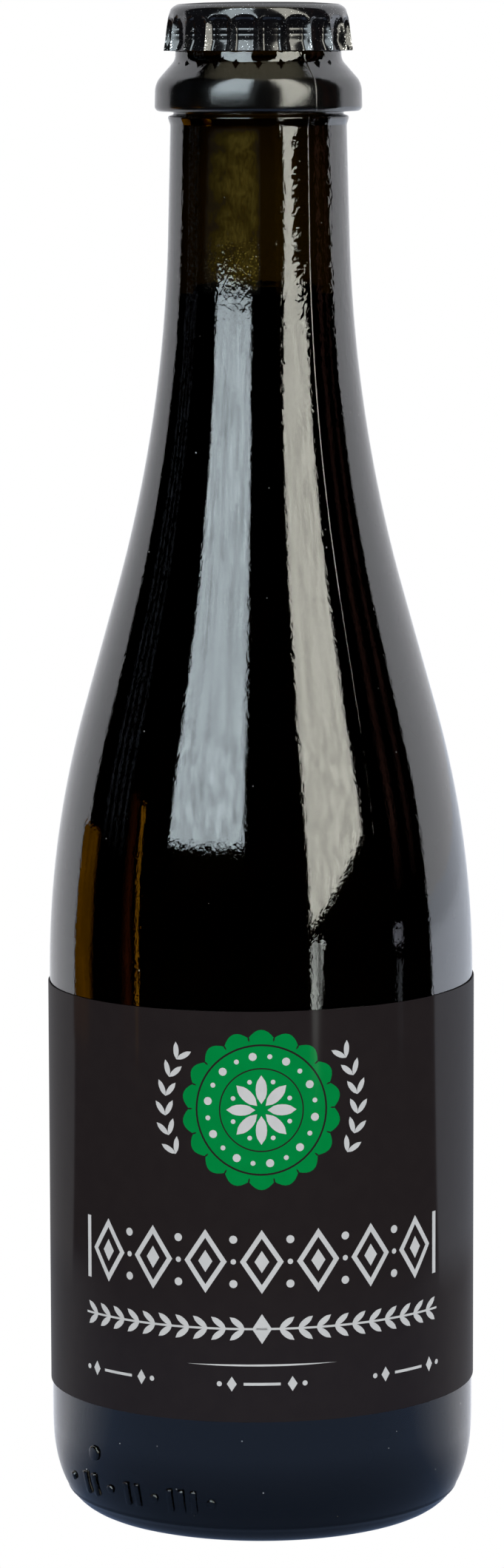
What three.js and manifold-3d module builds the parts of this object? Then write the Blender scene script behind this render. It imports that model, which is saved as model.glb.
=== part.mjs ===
// A capped beer bottle of dark green-brown glass with a paper label wrapped round it and stout inside.
// Millimetres, +Z up. The origin is the centre of the ring that the bottle stands on, and -Y is the
// front, where the label's design faces.

import * as THREE from "three";
import { mergeVertices } from "three/addons/utils/BufferGeometryUtils.js";
import Module from "manifold-3d";

const wasm = await Module();
wasm.setup();

// Driving dimensions of the glass
const BODY_RADIUS = 32.75;
const LIP_TOP = 231.6;
const SHOULDER_CORNER_Z = 104.9; // where the straight body would meet the sloping shoulder
const SHOULDER_FILLET = 152;
const NECK_CORNER = { r: 14.54, z: 170 }; // where the slope would meet the neck
const NECK_FILLET = 221;
const NECK_TOP = { r: 13.43, z: 214.5 };
const COLLAR_RADIUS = 13.85; // the small flared edge at the top of the neck
const GROOVE_RADIUS = 12.95;
const RING_RADIUS = 15.8;
const RING_BOTTOM_Z = 216.35;
const RING_TOP_Z = 220.9;
const FINISH_RADIUS = 12.3; // the glass inside the cap

// Heel and base
const HEEL_WIDTH = 7.9;
const HEEL_HEIGHT = 14.9;
const HEEL_POWER = 2.35;
const STAND_INNER_RADIUS = 22.4;
const PUNT_HEIGHT = 11;

// Inside of the glass
const BORE_RADIUS = 8.4;
const INNER_NECK_RADIUS = 9.6;
const INNER_BODY_RADIUS = 30.4;
const INNER_FLOOR_Z = 4.6; // lowest point of the inside, round the punt
const FILL_Z = 189.7;
const CLEARANCE = 0.3; // kept between the glass and what touches it

// Crown cap
const CAP_TOP = 232.8;
const CAP_BOTTOM = 225.5;
const CAP_FLUTES = 21;
const CAP_WALL = 0.35;
const CAP_TURN = Math.PI / 2; // a ridge faces the front

// Label
const LABEL_BOTTOM = 20.3;
const LABEL_TOP = 83.1;
const LABEL_INNER_RADIUS = BODY_RADIUS + 0.08;
const LABEL_THICKNESS = 0.17;
const LABEL_RISE = 0.22; // mm per radian: the label was put on slightly askew

// Raised marks on the heel, in degrees round from the front towards the viewer's left
const MARK_Z = 7.2;
const MARK_HEIGHT = 3.6;
const MARK_WIDTH = 0.9;
const MARK_RELIEF = 0.35;
const BAR_ANGLES = [53, 57, 40, 36.5, 26, 22.5, 19];
const DOT_ANGLES = [65, 46.5, 31, 14];
const BOSS = { angle: 51.7, z: 12.4, radius: 1.2 };

// Facets round the axis. The label spans 44 of them, so its facets lie flush with the glass.
const SEGMENTS = 48;
const LABEL_SEGMENTS = 44;

// Corners [{r, z, fillet, steps}] turned into an outline with its corners rounded by arcs.
function roundedOutline(corners) {
  const points = [];
  corners.forEach((corner, i) => {
    const here = new THREE.Vector2(corner.r, corner.z);
    if (!corner.fillet) {
      points.push(here);
      return;
    }
    const before = new THREE.Vector2(corners[i - 1].r, corners[i - 1].z).sub(here).normalize();
    const after = new THREE.Vector2(corners[i + 1].r, corners[i + 1].z).sub(here).normalize();
    const half = Math.acos(THREE.MathUtils.clamp(before.dot(after), -1, 1)) / 2;
    const centre = before.clone().add(after).normalize().multiplyScalar(corner.fillet / Math.sin(half)).add(here);
    const start = before.clone().multiplyScalar(corner.fillet / Math.tan(half)).add(here).sub(centre);
    const end = after.clone().multiplyScalar(corner.fillet / Math.tan(half)).add(here).sub(centre);
    const turn = Math.atan2(start.cross(end), start.dot(end));
    for (let k = 0; k <= corner.steps; k++) {
      points.push(start.clone().rotateAround(new THREE.Vector2(), (turn * k) / corner.steps).add(centre));
    }
  });
  return points;
}

// Revolves an outline round Z. The outline starts and ends on the axis.
function revolve(outline, segments) {
  const geometry = new THREE.LatheGeometry(outline, segments);
  geometry.rotateX(Math.PI / 2);
  return geometry;
}

// A geometry as a solid, turned the right way out.
function solidOf(geometry) {
  const bare = new THREE.BufferGeometry().setAttribute("position", geometry.getAttribute("position"));
  bare.setIndex(geometry.getIndex());
  const merged = mergeVertices(bare, 1e-4);
  const triVerts = new Uint32Array(merged.index.array);
  const make = () =>
    new wasm.Manifold(
      new wasm.Mesh({ numProp: 3, vertProperties: merged.attributes.position.array, triVerts }),
    );
  const solid = make();
  if (solid.volume() > 0) return solid;
  for (let i = 0; i < triVerts.length; i += 3) {
    [triVerts[i + 1], triVerts[i + 2]] = [triVerts[i + 2], triVerts[i + 1]];
  }
  return make();
}

// A solid back as a geometry.
function geometryOf(solid) {
  const mesh = solid.getMesh();
  const geometry = new THREE.BufferGeometry();
  geometry.setAttribute("position", new THREE.BufferAttribute(mesh.vertProperties, 3));
  geometry.setIndex(new THREE.BufferAttribute(mesh.triVerts, 1));
  geometry.computeVertexNormals();
  return geometry;
}

// Radius of the outer glass at a height on the heel, a superellipse.
function heelRadius(z) {
  const down = (HEEL_HEIGHT - z) / HEEL_HEIGHT;
  return BODY_RADIUS - HEEL_WIDTH * (1 - (1 - down ** HEEL_POWER) ** (1 / HEEL_POWER));
}

// The heel from the standing ring up to the straight body, with its steps closest at the bottom.
function heelOutline(steps) {
  const points = [];
  for (let k = 0; k <= steps; k++) {
    const z = HEEL_HEIGHT * (1 - Math.sin(((1 - k / steps) * Math.PI) / 2));
    points.push(new THREE.Vector2(heelRadius(z), z));
  }
  return points;
}

// Outer outline of the glass, from the middle of the punt to the lip.
function outerOutline() {
  const punt = roundedOutline([
    { r: 0, z: PUNT_HEIGHT },
    { r: 6, z: PUNT_HEIGHT - 0.5 },
    { r: 19.5, z: PUNT_HEIGHT - 3.4, fillet: 6, steps: 3 },
    { r: STAND_INNER_RADIUS, z: 0, fillet: 0.8, steps: 2 },
    { r: STAND_INNER_RADIUS + 1.5, z: 0 },
  ]);
  const above = roundedOutline([
    { r: BODY_RADIUS, z: LABEL_BOTTOM },
    { r: BODY_RADIUS, z: SHOULDER_CORNER_Z, fillet: SHOULDER_FILLET, steps: 5 },
    { ...NECK_CORNER, fillet: NECK_FILLET, steps: 6 },
    NECK_TOP,
    { r: COLLAR_RADIUS, z: NECK_TOP.z + 1.2 },
    { r: GROOVE_RADIUS, z: RING_BOTTOM_Z - 0.45 },
    { r: GROOVE_RADIUS, z: RING_BOTTOM_Z - 0.2 },
    { r: RING_RADIUS, z: RING_BOTTOM_Z, fillet: 1.1, steps: 3 },
    { r: RING_RADIUS - 0.15, z: RING_TOP_Z, fillet: 1.7, steps: 3 },
    { r: FINISH_RADIUS + 0.3, z: 224.3, fillet: 2, steps: 2 },
    { r: FINISH_RADIUS + 0.3, z: CAP_BOTTOM },
    { r: FINISH_RADIUS - 0.25, z: CAP_BOTTOM + 1 },
    { r: FINISH_RADIUS, z: CAP_BOTTOM + 2.6 },
    { r: FINISH_RADIUS - 0.2, z: LIP_TOP, fillet: 1.6, steps: 2 },
    { r: FINISH_RADIUS - 2.4, z: LIP_TOP },
  ]);
  return [...punt, ...heelOutline(6), ...above];
}

// Outline of the hollow from the lip down to the middle of its floor, drawn in by a gap for the drink.
function innerOutline(gap) {
  const floor = INNER_FLOOR_Z + gap;
  const middle = PUNT_HEIGHT + 4.2 + gap;
  return roundedOutline([
    { r: BORE_RADIUS + 1.2, z: LIP_TOP },
    { r: BORE_RADIUS, z: LIP_TOP - 0.9 },
    { r: BORE_RADIUS, z: 220 },
    { r: INNER_NECK_RADIUS - gap, z: 206 },
    { r: NECK_CORNER.r - 3.9 - gap, z: NECK_CORNER.z - 0.5, fillet: NECK_FILLET - 40, steps: 5 },
    { r: INNER_BODY_RADIUS - gap, z: SHOULDER_CORNER_Z - 1, fillet: SHOULDER_FILLET, steps: 4 },
    { r: INNER_BODY_RADIUS - gap, z: floor, fillet: 6.5, steps: 3 },
    { r: 22, z: floor, fillet: 3, steps: 2 },
    { r: 18.5, z: middle - 3.3, fillet: 4, steps: 2 },
    { r: 6, z: middle - 0.5 },
    { r: 0, z: middle },
  ]);
}

// Turns a mark's +X outwards and moves it onto the heel, at an angle round from the front and a height.
function placeOnHeel(geometry, angle, z) {
  geometry.rotateZ(-Math.PI / 2 - angle);
  const radius = heelRadius(z);
  geometry.translate(-radius * Math.sin(angle), -radius * Math.cos(angle), z);
  return geometry;
}

// Raised bars, dots and one round boss on the heel, as a glass mould leaves them.
function heelMarks() {
  const tilt = Math.atan((heelRadius(MARK_Z + 1) - heelRadius(MARK_Z - 1)) / 2);
  const marks = BAR_ANGLES.map((degrees) => {
    const bar = new THREE.BoxGeometry(2 * MARK_RELIEF, MARK_WIDTH, MARK_HEIGHT);
    bar.rotateY(tilt);
    return placeOnHeel(bar, THREE.MathUtils.degToRad(degrees), MARK_Z);
  });
  DOT_ANGLES.forEach((degrees) => {
    const dot = new THREE.CylinderGeometry(MARK_WIDTH * 0.6, MARK_WIDTH * 0.8, 2 * MARK_RELIEF, 6);
    dot.rotateZ(-Math.PI / 2);
    marks.push(placeOnHeel(dot, THREE.MathUtils.degToRad(degrees), MARK_Z));
  });
  const boss = new THREE.CylinderGeometry(BOSS.radius, BOSS.radius + 0.1, 2 * MARK_RELIEF, 10);
  boss.rotateZ(-Math.PI / 2);
  marks.push(placeOnHeel(boss, THREE.MathUtils.degToRad(BOSS.angle), BOSS.z));
  return marks;
}

function glassGeometry() {
  const outline = [...outerOutline(), ...innerOutline(0)];
  return geometryOf(heelMarks().reduce((glass, mark) => glass.add(solidOf(mark)), solidOf(revolve(outline, SEGMENTS))));
}

// The drink fills the hollow up to its level, a little clear of the glass.
function beerGeometry() {
  const below = innerOutline(CLEARANCE).filter((point) => point.y < FILL_Z - 1);
  const neckRadius = below[0].x - ((FILL_Z - below[0].y) * (NECK_CORNER.r - NECK_TOP.r)) / (NECK_TOP.z - NECK_CORNER.z);
  const outline = [new THREE.Vector2(0, FILL_Z), new THREE.Vector2(neckRadius, FILL_Z), ...below];
  return geometryOf(solidOf(revolve(outline, SEGMENTS)));
}

// Outline of the cap at its ridges, and beside it the radius at its valleys.
function capOutline() {
  const outside = [
    [0, CAP_TOP, 0],
    [7, CAP_TOP - 0.12, 7],
    [11.3, CAP_TOP - 0.4, 11.3],
    [12.8, CAP_TOP - 0.9, 12.8],
    [13.45, CAP_TOP - 1.6, 13.4],
    [13.75, CAP_TOP - 2.4, 13.45],
    [13.9, CAP_TOP - 3.4, 13.2],
    [14.03, CAP_TOP - 4.5, 13.0],
    [14.18, CAP_TOP - 6, 13.15],
    [14.4, CAP_BOTTOM, 13.5],
  ];
  const inside = [
    [14.4 - CAP_WALL, CAP_BOTTOM, 13.5 - CAP_WALL],
    [14.03 - CAP_WALL, CAP_TOP - 4.5, 13.0 - CAP_WALL],
    [13.75 - CAP_WALL, CAP_TOP - 2.8, 13.35 - CAP_WALL],
    [12.6, CAP_TOP - 2.4, 12.6],
    [12.05, LIP_TOP - 0.2, 12.05],
    [10.9, LIP_TOP + CLEARANCE, 10.9],
    [0, LIP_TOP + CLEARANCE, 0],
  ];
  return [...outside, ...inside].map(([ridge, z, valley]) => ({ ridge, z, valley }));
}

// The cap is a revolved outline whose columns are drawn in to narrow ridges and broad valleys.
function capGeometry() {
  const columns = [
    { turn: 0, ridge: 1 },
    { turn: 0.2, ridge: 0.1 },
    { turn: 0.5, ridge: 0 },
    { turn: 0.8, ridge: 0.1 },
  ];
  const outline = capOutline();
  const flat = outline.map(({ ridge, z }) => new THREE.Vector2(ridge, z));
  const geometry = new THREE.LatheGeometry(flat, CAP_FLUTES * columns.length);
  const position = geometry.getAttribute("position");
  for (let i = 0; i < position.count; i++) {
    const level = outline[i % outline.length];
    const step = Math.floor(i / outline.length);
    const column = columns[step % columns.length];
    const flute = Math.floor(step / columns.length) % CAP_FLUTES;
    const angle = ((flute + column.turn) / CAP_FLUTES) * 2 * Math.PI + CAP_TURN;
    const radius = THREE.MathUtils.lerp(level.valley, level.ridge, column.ridge);
    position.setXYZ(i, radius * Math.cos(angle), radius * Math.sin(angle), level.z);
  }
  return geometryOf(solidOf(geometry));
}

// The label is an open ring of paper whose gap is at the back.
function labelGeometry() {
  const step = (2 * Math.PI) / SEGMENTS;
  const first = -Math.PI / 2 - (LABEL_SEGMENTS / 2) * step;
  const ring = (radius, k) =>
    new THREE.Vector2(radius * Math.cos(first + k * step), radius * Math.sin(first + k * step));
  const steps = Array.from({ length: LABEL_SEGMENTS + 1 }, (_, k) => k);
  const outside = steps.map((k) => ring(LABEL_INNER_RADIUS + LABEL_THICKNESS, k));
  const inside = steps.map((k) => ring(LABEL_INNER_RADIUS, k)).reverse();
  const geometry = new THREE.ExtrudeGeometry(new THREE.Shape([...outside, ...inside]), {
    depth: LABEL_TOP - LABEL_BOTTOM,
    bevelEnabled: false,
  });
  const position = geometry.getAttribute("position");
  for (let i = 0; i < position.count; i++) {
    const round = Math.atan2(position.getX(i), -position.getY(i));
    position.setZ(i, position.getZ(i) + LABEL_BOTTOM + LABEL_RISE * round);
  }
  return geometryOf(solidOf(geometry));
}

const finishes = {
  glass: new THREE.MeshStandardMaterial({ color: 0x2c2708, roughness: 0.06, metalness: 0, transparent: true, opacity: 0.9 }),
  steel: new THREE.MeshStandardMaterial({ color: 0x0c0c0e, roughness: 0.18, metalness: 0.3 }),
  paper: new THREE.MeshStandardMaterial({ color: 0x231f20, roughness: 0.5, metalness: 0 }),
  beer: new THREE.MeshStandardMaterial({ color: 0x140700, roughness: 0.05, metalness: 0 }),
};

const bottle = new THREE.Group();
[
  ["bottle", glassGeometry(), finishes.glass],
  ["beer", beerGeometry(), finishes.beer],
  ["crown_cap", capGeometry(), finishes.steel],
  ["label", labelGeometry(), finishes.paper],
].forEach(([name, geometry, material]) => {
  const mesh = new THREE.Mesh(geometry, material);
  mesh.name = name;
  bottle.add(mesh);
});

export default bottle;
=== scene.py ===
"""A capped bottle of stout: clear dark glass, the drink, a crown cap and a printed paper label.

The bottle stands on z = 0 with its axis along Z and its front towards -Y. The classes hold their sizes in
millimetres, and the meshes are in metres.
"""

import logging
import math
import random
from contextlib import contextmanager
from dataclasses import dataclass, field
from enum import Enum
from typing import Callable, Iterator, Sequence

import bmesh
import bpy
from mathutils import Matrix, Vector


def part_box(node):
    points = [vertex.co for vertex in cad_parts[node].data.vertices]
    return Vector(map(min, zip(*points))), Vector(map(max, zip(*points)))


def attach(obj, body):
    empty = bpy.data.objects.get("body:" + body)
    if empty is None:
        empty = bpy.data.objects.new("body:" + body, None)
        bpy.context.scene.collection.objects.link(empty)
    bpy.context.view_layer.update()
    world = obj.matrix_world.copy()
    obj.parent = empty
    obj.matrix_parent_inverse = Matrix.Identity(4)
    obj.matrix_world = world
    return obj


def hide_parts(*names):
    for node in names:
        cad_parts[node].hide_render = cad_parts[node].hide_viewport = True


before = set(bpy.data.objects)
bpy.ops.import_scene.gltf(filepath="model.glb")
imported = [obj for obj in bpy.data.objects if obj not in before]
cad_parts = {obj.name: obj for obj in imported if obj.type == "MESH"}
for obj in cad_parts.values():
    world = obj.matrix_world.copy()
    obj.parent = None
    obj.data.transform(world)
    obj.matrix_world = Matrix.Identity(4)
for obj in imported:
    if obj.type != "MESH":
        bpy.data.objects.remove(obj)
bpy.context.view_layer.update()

MM = 0.001
TINY = 1e-6
BODY = "root"

Point = tuple[float, float]
Triple = tuple[float, float, float]
Colour = tuple[float, float, float, float]
Ramp = tuple[float, float, Point]
Piece = bpy.types.Object
Finish = bpy.types.Material
Socket = bpy.types.NodeSocket

log = logging.getLogger("bottle")


class Slot(Enum):
    """The material slots."""

    GLASS = "glass"
    BEER = "beer"
    STEEL = "steel"
    PAPER = "paper"


class Part(Enum):
    """Which elements of a mesh a selection works on."""

    VERTS = "VERT"
    EDGES = "EDGE"
    FACES = "FACE"


class Ink(Enum):
    """The inks on the label."""

    GREEN = "green"
    GREY = "grey"
    DARK = "dark"


# Modelling by hand, in code


def deselect_all() -> None:
    """Leaves no object selected."""
    bpy.ops.object.select_all(action="DESELECT")


def make_active(piece: Piece) -> None:
    """Selects one object alone.

    Args:
        piece: The object to select and make active.
    """
    deselect_all()
    piece.select_set(True)
    bpy.context.view_layer.objects.active = piece


def named(name: str) -> Piece:
    """Names the primitive that was just added.

    Args:
        name: The object's and its mesh's name.

    Returns:
        The object.
    """
    piece = bpy.context.active_object
    piece.name = piece.data.name = name
    return piece


@contextmanager
def editing(piece: Piece) -> Iterator[None]:
    """Edit mode on one object, with nothing selected at first.

    Args:
        piece: The mesh object to edit.

    Yields:
        Nothing, while the object is in edit mode.
    """
    make_active(piece)
    bpy.ops.object.mode_set(mode="EDIT")
    bpy.ops.mesh.select_all(action="DESELECT")
    yield
    bpy.ops.object.mode_set(mode="OBJECT")


def grab_all() -> None:
    """Selects the whole mesh in edit mode."""
    bpy.ops.mesh.select_all(action="SELECT")


def pick(piece: Piece, part: Part, test: Callable[..., bool]) -> int:
    """Selects, in edit mode, the elements that pass a test on their place or normal.

    Args:
        piece: The object in edit mode.
        part: Whether vertices, edges or faces are tested.
        test: Takes the BMesh element and says whether it is selected.

    Returns:
        How many elements were selected.
    """
    bpy.ops.mesh.select_all(action="DESELECT")
    bpy.ops.mesh.select_mode(type=part.value)
    mesh = bmesh.from_edit_mesh(piece.data)
    elements = {Part.VERTS: mesh.verts, Part.EDGES: mesh.edges, Part.FACES: mesh.faces}[part]
    found = [element for element in elements if test(element)]
    for element in found:
        element.select_set(True)
    mesh.select_flush_mode()
    bmesh.update_edit_mesh(piece.data)
    return len(found)


def extrude(step: Vector) -> None:
    """Extrudes what is selected by a step."""
    bpy.ops.mesh.extrude_region_move(TRANSFORM_OT_translate={"value": step})


def apply_modifier(piece: Piece, kind: str, **settings: object) -> None:
    """Adds a modifier with its settings and applies it.

    Args:
        piece: The object to finish.
        kind: The modifier's type.
        settings: The modifier's properties.
    """
    make_active(piece)
    modifier = piece.modifiers.new(kind.lower(), kind)
    for key, value in settings.items():
        setattr(modifier, key, value)
    bpy.ops.object.modifier_apply(modifier=modifier.name)


def apply_place(piece: Piece) -> None:
    """Puts an object's place, turn and scale into its mesh."""
    make_active(piece)
    bpy.ops.object.transform_apply(location=True, rotation=True, scale=True)


def join(pieces: Sequence[Piece], name: str) -> Piece:
    """Joins objects, at least two, into one whose place is in its mesh.

    Args:
        pieces: The objects.
        name: The name of the joined object.

    Returns:
        The joined object.
    """
    make_active(pieces[0])
    for piece in pieces:
        piece.select_set(True)
    bpy.ops.object.join()
    joined = named(name)
    apply_place(joined)
    return joined


def on_round(radius: float, angle: float, z: float) -> Vector:
    """The place at a radius and a height, an angle round from the front towards the viewer's right."""
    return Vector((radius * math.sin(angle), -radius * math.cos(angle), z))


@dataclass(frozen=True)
class Corner:
    """A corner of an outline in millimetres, rounded where it has a fillet."""

    r: float
    z: float
    fillet: float = 0.0
    steps: int = 1


def rounded_outline(corners: Sequence[Corner]) -> list[Point]:
    """An outline whose corners are rounded by arcs.

    Args:
        corners: The corners in order, the first and last without a fillet.

    Returns:
        Points (radius, height) in millimetres.
    """
    points: list[Point] = []
    for i, corner in enumerate(corners):
        here = Vector((corner.r, corner.z))
        if not corner.fillet:
            points.append((corner.r, corner.z))
            continue
        before, after = ((Vector((corners[k].r, corners[k].z)) - here).normalized() for k in (i - 1, i + 1))
        half = before.angle(after) / 2
        centre = here + (before + after).normalized() * corner.fillet / math.sin(half)
        start, end = (here + side * corner.fillet / math.tan(half) - centre for side in (before, after))
        turn = math.atan2(start.x * end.y - start.y * end.x, start.dot(end))
        for k in range(corner.steps + 1):
            points.append(tuple(centre + Matrix.Rotation(turn * k / corner.steps, 2) @ start))
    return points


def one_point(name: str, place: Vector) -> Piece:
    """Makes a mesh of one vertex, from which a line or a sheet is extruded.

    Args:
        name: The new object's name.
        place: Where the vertex is, in metres.

    Returns:
        The object.
    """
    bpy.ops.mesh.primitive_plane_add(size=MM)
    piece = named(name)
    with editing(piece):
        grab_all()
        bpy.ops.mesh.merge(type="CENTER")
        grab_all()
        bpy.ops.transform.translate(value=place)
    return piece


def spin_outline(name: str, outline: Sequence[Point], steps: int, azimuth: float = 0.0) -> Piece:
    """Draws an outline by extruding one vertex from point to point, and spins it once round the Z axis.

    Args:
        name: The new object's name.
        outline: Points (radius, height) in millimetres.
        steps: How many columns the turn has.
        azimuth: Angle of the first column from +X, in radians.

    Returns:
        The object, with its seam and its poles closed.
    """
    places = [Vector((r * math.cos(azimuth), r * math.sin(azimuth), z)) * MM for r, z in outline]
    piece = one_point(name, places[0])
    with editing(piece):
        grab_all()
        for last, here in zip(places, places[1:]):
            extrude(here - last)
        grab_all()
        bpy.ops.mesh.spin(steps=steps, angle=2 * math.pi, center=(0, 0, 0), axis=(0, 0, 1))
        grab_all()
        bpy.ops.mesh.remove_doubles(threshold=TINY)
        grab_all()
        bpy.ops.mesh.normals_make_consistent(inside=False)
    return piece


# Finishes


class NodeSheet:
    """The node tree of a material or a world, written down as a list of nodes and links."""

    def __init__(self, owner: Finish | bpy.types.World, output: str = "ShaderNodeOutputMaterial") -> None:
        """Starts with an output node alone.

        Args:
            owner: The material or the world.
            output: The type name of its output node.
        """
        owner.use_nodes = True
        self.owner = owner
        self.tree = owner.node_tree
        self.tree.nodes.clear()
        self.output = self.add(output)

    def add(self, kind: str, values: dict | None = None, **settings: object) -> bpy.types.Node:
        """Adds a node.

        Args:
            kind: The node's type name.
            values: Input sockets by name, each set to a value or linked from an output socket.
            settings: The node's own properties.

        Returns:
            The new node.
        """
        node = self.tree.nodes.new(kind)
        for key, value in settings.items():
            setattr(node, key, value)
        for key, value in (values or {}).items():
            if isinstance(value, Socket):
                self.tree.links.new(value, node.inputs[key])
            else:
                node.inputs[key].default_value = value
        return node

    def close(self, surface: Socket, key: str = "Surface") -> Finish | bpy.types.World:
        """Links a shader to the output, and returns the material or the world."""
        self.tree.links.new(surface, self.output.inputs[key])
        return self.owner

    def split(self, vector: Socket) -> list[Socket]:
        """The X, Y and Z of a vector."""
        return list(self.add("ShaderNodeSeparateXYZ", {"Vector": vector}).outputs)

    def place(self, tall: float = 1.0) -> Socket:
        """Object coordinates, with the height multiplied by a factor."""
        coordinates = self.add("ShaderNodeTexCoord").outputs["Object"]
        return self.add("ShaderNodeMapping", {"Vector": coordinates, "Scale": (1, 1, tall)}).outputs["Vector"]

    def noise(self, size_mm: float, detail: float = 2.0, tall: float = 1.0) -> Socket:
        """Noise whose blotches have a size.

        Args:
            size_mm: Size of its blotches in millimetres.
            detail: How many finer layers it has.
            tall: Less than 1 makes the blotches taller than wide.

        Returns:
            The value socket.
        """
        values = {"Vector": self.place(tall), "Scale": 1 / (size_mm * MM), "Detail": detail}
        return self.add("ShaderNodeTexNoise", values).outputs["Fac"]

    def math(self, operation: str, a: object, b: object = 0.0) -> Socket:
        """A sum of two values or sockets, by Blender's name for the operation."""
        return self.add("ShaderNodeMath", {0: a, 1: b}, operation=operation).outputs["Value"]

    def times(self, product: object, *factors: object) -> Socket:
        """The product of some values or sockets.

        Args:
            product: The first value or socket.
            factors: The others.

        Returns:
            The value socket.
        """
        for factor in factors:
            product = self.math("MULTIPLY", product, factor)
        return product

    def fade(self, value: Socket, low: float, high: float, to: Point = (0, 1)) -> Socket:
        """A value mapped from one range to another and kept inside it.

        Args:
            value: The socket to map.
            low: Where the old range starts.
            high: Where it ends.
            to: The new range.

        Returns:
            The value socket.
        """
        values = {"Value": value, "From Min": low, "From Max": high, "To Min": to[0], "To Max": to[1]}
        return self.add("ShaderNodeMapRange", values).outputs["Result"]

    def span(self, value: Socket, low_mm: float, high_mm: float, to: Point = (0, 1)) -> Socket:
        """A coordinate mapped from a range in millimetres to another range."""
        return self.fade(value, low_mm * MM, high_mm * MM, to)

    def blend(self, share: object, a: object, b: object) -> Socket:
        """Two values mixed, of which the second has a share from 0 to 1."""
        return self.add("ShaderNodeMix", {0: share, 2: a, 3: b}).outputs[0]

    def mix(self, share: object, a: object, b: object) -> Socket:
        """Two colours mixed, of which the second has a share from 0 to 1."""
        return self.add("ShaderNodeMix", {0: share, 6: a, 7: b}, data_type="RGBA").outputs[2]

    def bump(self, height: Socket, depth_mm: float, under: Socket | None = None) -> Socket:
        """A bumped normal.

        Args:
            height: The height map, from 0 to 1.
            depth_mm: How far its full range stands out, in millimetres.
            under: Another normal that this one adds to.

        Returns:
            The normal socket.
        """
        values = {"Height": height, "Distance": depth_mm * MM}
        if under is not None:
            values["Normal"] = under
        return self.add("ShaderNodeBump", values).outputs["Normal"]

    def principled(self, **values: object) -> Finish:
        """Closes the sheet with the Principled shader, its sockets named with _ for a space."""
        values = {key.replace("_", " "): value for key, value in values.items()}
        return self.close(self.add("ShaderNodeBsdfPrincipled", values).outputs["BSDF"])

    def glow(self, colour: object, strength: object = 1.0) -> Socket:
        """An emission shader."""
        return self.add("ShaderNodeEmission", {"Color": colour, "Strength": strength}).outputs["Emission"]


def new_sheet(name: str) -> NodeSheet:
    """A sheet for a new material."""
    return NodeSheet(bpy.data.materials.new(name))


def grey(value: float) -> Colour:
    """A grey as a linear colour."""
    return (value, value, value, 1.0)


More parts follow.
